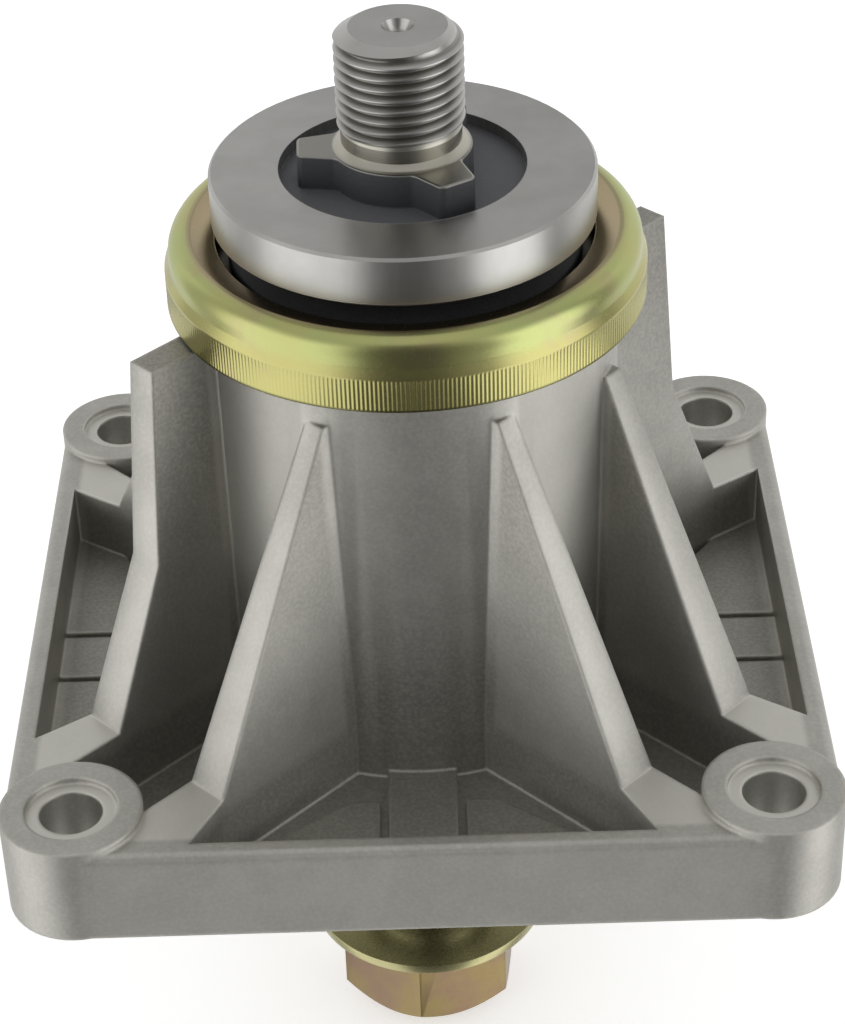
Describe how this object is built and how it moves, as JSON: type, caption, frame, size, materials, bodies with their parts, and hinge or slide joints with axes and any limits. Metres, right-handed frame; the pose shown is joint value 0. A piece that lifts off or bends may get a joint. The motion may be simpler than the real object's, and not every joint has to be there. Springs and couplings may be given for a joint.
{
  "type": "mower deck spindle",
  "caption": "Cast square-flanged housing carrying a forged blade spindle on sealed ball bearings, with a plated dust cap, lobed blade driver and flange nut.",
  "frame": {"origin": "on the shaft's axis, in the plane of the housing's deck face", "axes": "+Z along the shaft towards the blade stud; X and Y along the sides of the square flange"},
  "size_m": [0.1054, 0.1054, 0.1552],
  "materials": {
    "cast_aluminium": "as cast, fine grained, satin",
    "turned_steel": "turned and forged steel, black scale in the driver recess",
    "zinc_yellow_cap": "yellow zinc plate over pressed steel, iridescent",
    "zinc_gold_nut": "gold zinc plate",
    "bearing_steel": "ground and polished bearing steel",
    "cage_polymer": "moulded polyamide",
    "black_rubber": "matt rubber",
    "plain_steel": "drawn tube and pressed washer"
  },
  "bodies": {
    "housing": {"housing": "cast_aluminium", "dust_cap": "zinc_yellow_cap", "upper_bearing_outer_ring": "bearing_steel", "upper_bearing_top_seal": "black_rubber", "upper_bearing_bottom_seal": "black_rubber", "lower_bearing_outer_ring": "bearing_steel", "lower_bearing_top_seal": "black_rubber", "lower_bearing_bottom_seal": "black_rubber"},
    "spindle": {"spindle_shaft": "turned_steel", "v_ring_seal": "black_rubber", "bearing_spacer": "plain_steel", "pulley_spacer": "plain_steel", "lower_dust_shield": "zinc_yellow_cap", "hex_flange_nut": "zinc_gold_nut", "upper_bearing_inner_ring": "bearing_steel", "lower_bearing_inner_ring": "bearing_steel"},
    "upper_cage": {"upper_bearing_cage": "cage_polymer", "upper_bearing_balls": "bearing_steel"},
    "lower_cage": {"lower_bearing_cage": "cage_polymer", "lower_bearing_balls": "bearing_steel"}
  },
  "joints": [
    {"name": "spindle_spin", "type": "hinge", "parent": "housing", "child": "spindle", "pos_m": [0, 0, 0], "axis": [0, 0, 1], "continuous": true},
    {"name": "upper_cage_spin", "type": "hinge", "parent": "housing", "child": "upper_cage", "pos_m": [0, 0, 0.0585], "axis": [0, 0, 1], "continuous": true},
    {"name": "lower_cage_spin", "type": "hinge", "parent": "housing", "child": "lower_cage", "pos_m": [0, 0, 0.0008], "axis": [0, 0, 1], "continuous": true}
  ],
  "couplings": [
    {"joint": "upper_cage_spin", "follows": "spindle_spin", "ratio": 0.3815},
    {"joint": "lower_cage_spin", "follows": "spindle_spin", "ratio": 0.3815}
  ]
}
